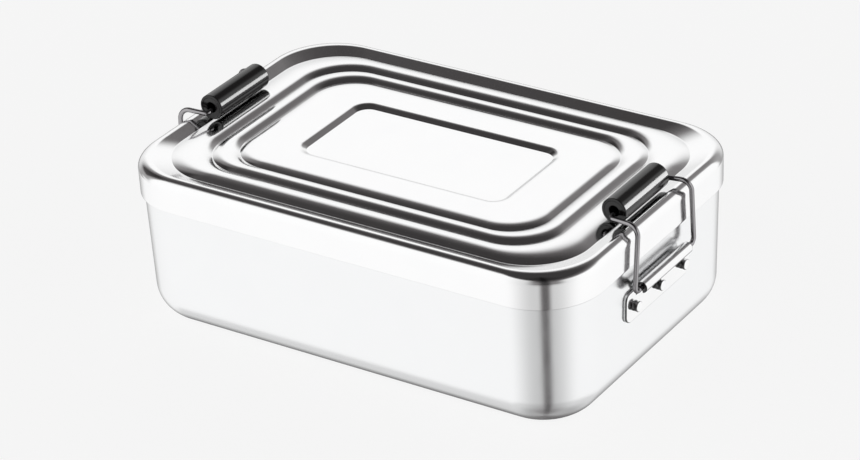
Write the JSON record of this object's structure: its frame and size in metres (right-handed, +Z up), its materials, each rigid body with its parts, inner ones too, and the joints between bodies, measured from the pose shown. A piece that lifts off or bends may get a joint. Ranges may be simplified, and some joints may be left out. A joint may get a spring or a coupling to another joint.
{
  "type": "metal lunch box",
  "caption": "Rounded rectangular sheet-metal food box with a beaded lift-off lid held down by a wire bail clip with a roller at each short end.",
  "frame": {"origin": "centre of the flat underside that the box stands on", "axes": "+X to the right-hand end with its clip, +Y to the back long side, +Z up"},
  "size_m": [0.2308, 0.15, 0.0844],
  "materials": {
    "pan": "bright polished sheet steel",
    "lid": "bright polished pressed sheet steel",
    "hinge_plate": "bright polished steel",
    "rivet": "bright polished steel",
    "wire": "bright drawn wire",
    "grip": "glossy black moulded tube"
  },
  "bodies": {
    "pan": {"pan": "pan", "right_hinge_plate": "hinge_plate", "right_rivet_front": "rivet", "right_rivet_middle": "rivet", "right_rivet_back": "rivet", "left_hinge_plate": "hinge_plate", "left_rivet_front": "rivet", "left_rivet_middle": "rivet", "left_rivet_back": "rivet"},
    "lid": {"lid": "lid"},
    "right_clip": {"right_bail_wire": "wire"},
    "right_roller": {"right_grip_roller": "grip"},
    "left_clip": {"left_bail_wire": "wire"},
    "left_roller": {"left_grip_roller": "grip"}
  },
  "joints": [
    {"name": "lid_lift", "type": "slide", "parent": "pan", "child": "lid", "axis": [0, 0, 1], "range_m": [0, 0.013]},
    {"name": "right_clip_swing", "type": "hinge", "parent": "pan", "child": "right_clip", "pos_m": [0.11292, 0, 0.0477], "axis": [0, 1, 0], "range_deg": [0, 170.05]},
    {"name": "right_roller_spin", "type": "hinge", "parent": "right_clip", "child": "right_roller", "pos_m": [0.09982, 0, 0.0787], "axis": [0, 1, 0], "continuous": true},
    {"name": "left_clip_swing", "type": "hinge", "parent": "pan", "child": "left_clip", "pos_m": [-0.11292, 0, 0.0477], "axis": [0, -1, 0], "range_deg": [0, 170.05]},
    {"name": "left_roller_spin", "type": "hinge", "parent": "left_clip", "child": "left_roller", "pos_m": [-0.09982, 0, 0.0787], "axis": [0, 1, 0], "continuous": true}
  ],
  "couplings": [
    {"joint": "right_clip_swing", "follows": "lid_lift", "rad_per_m": 228.24},
    {"joint": "left_clip_swing", "follows": "lid_lift", "rad_per_m": 228.24}
  ]
}
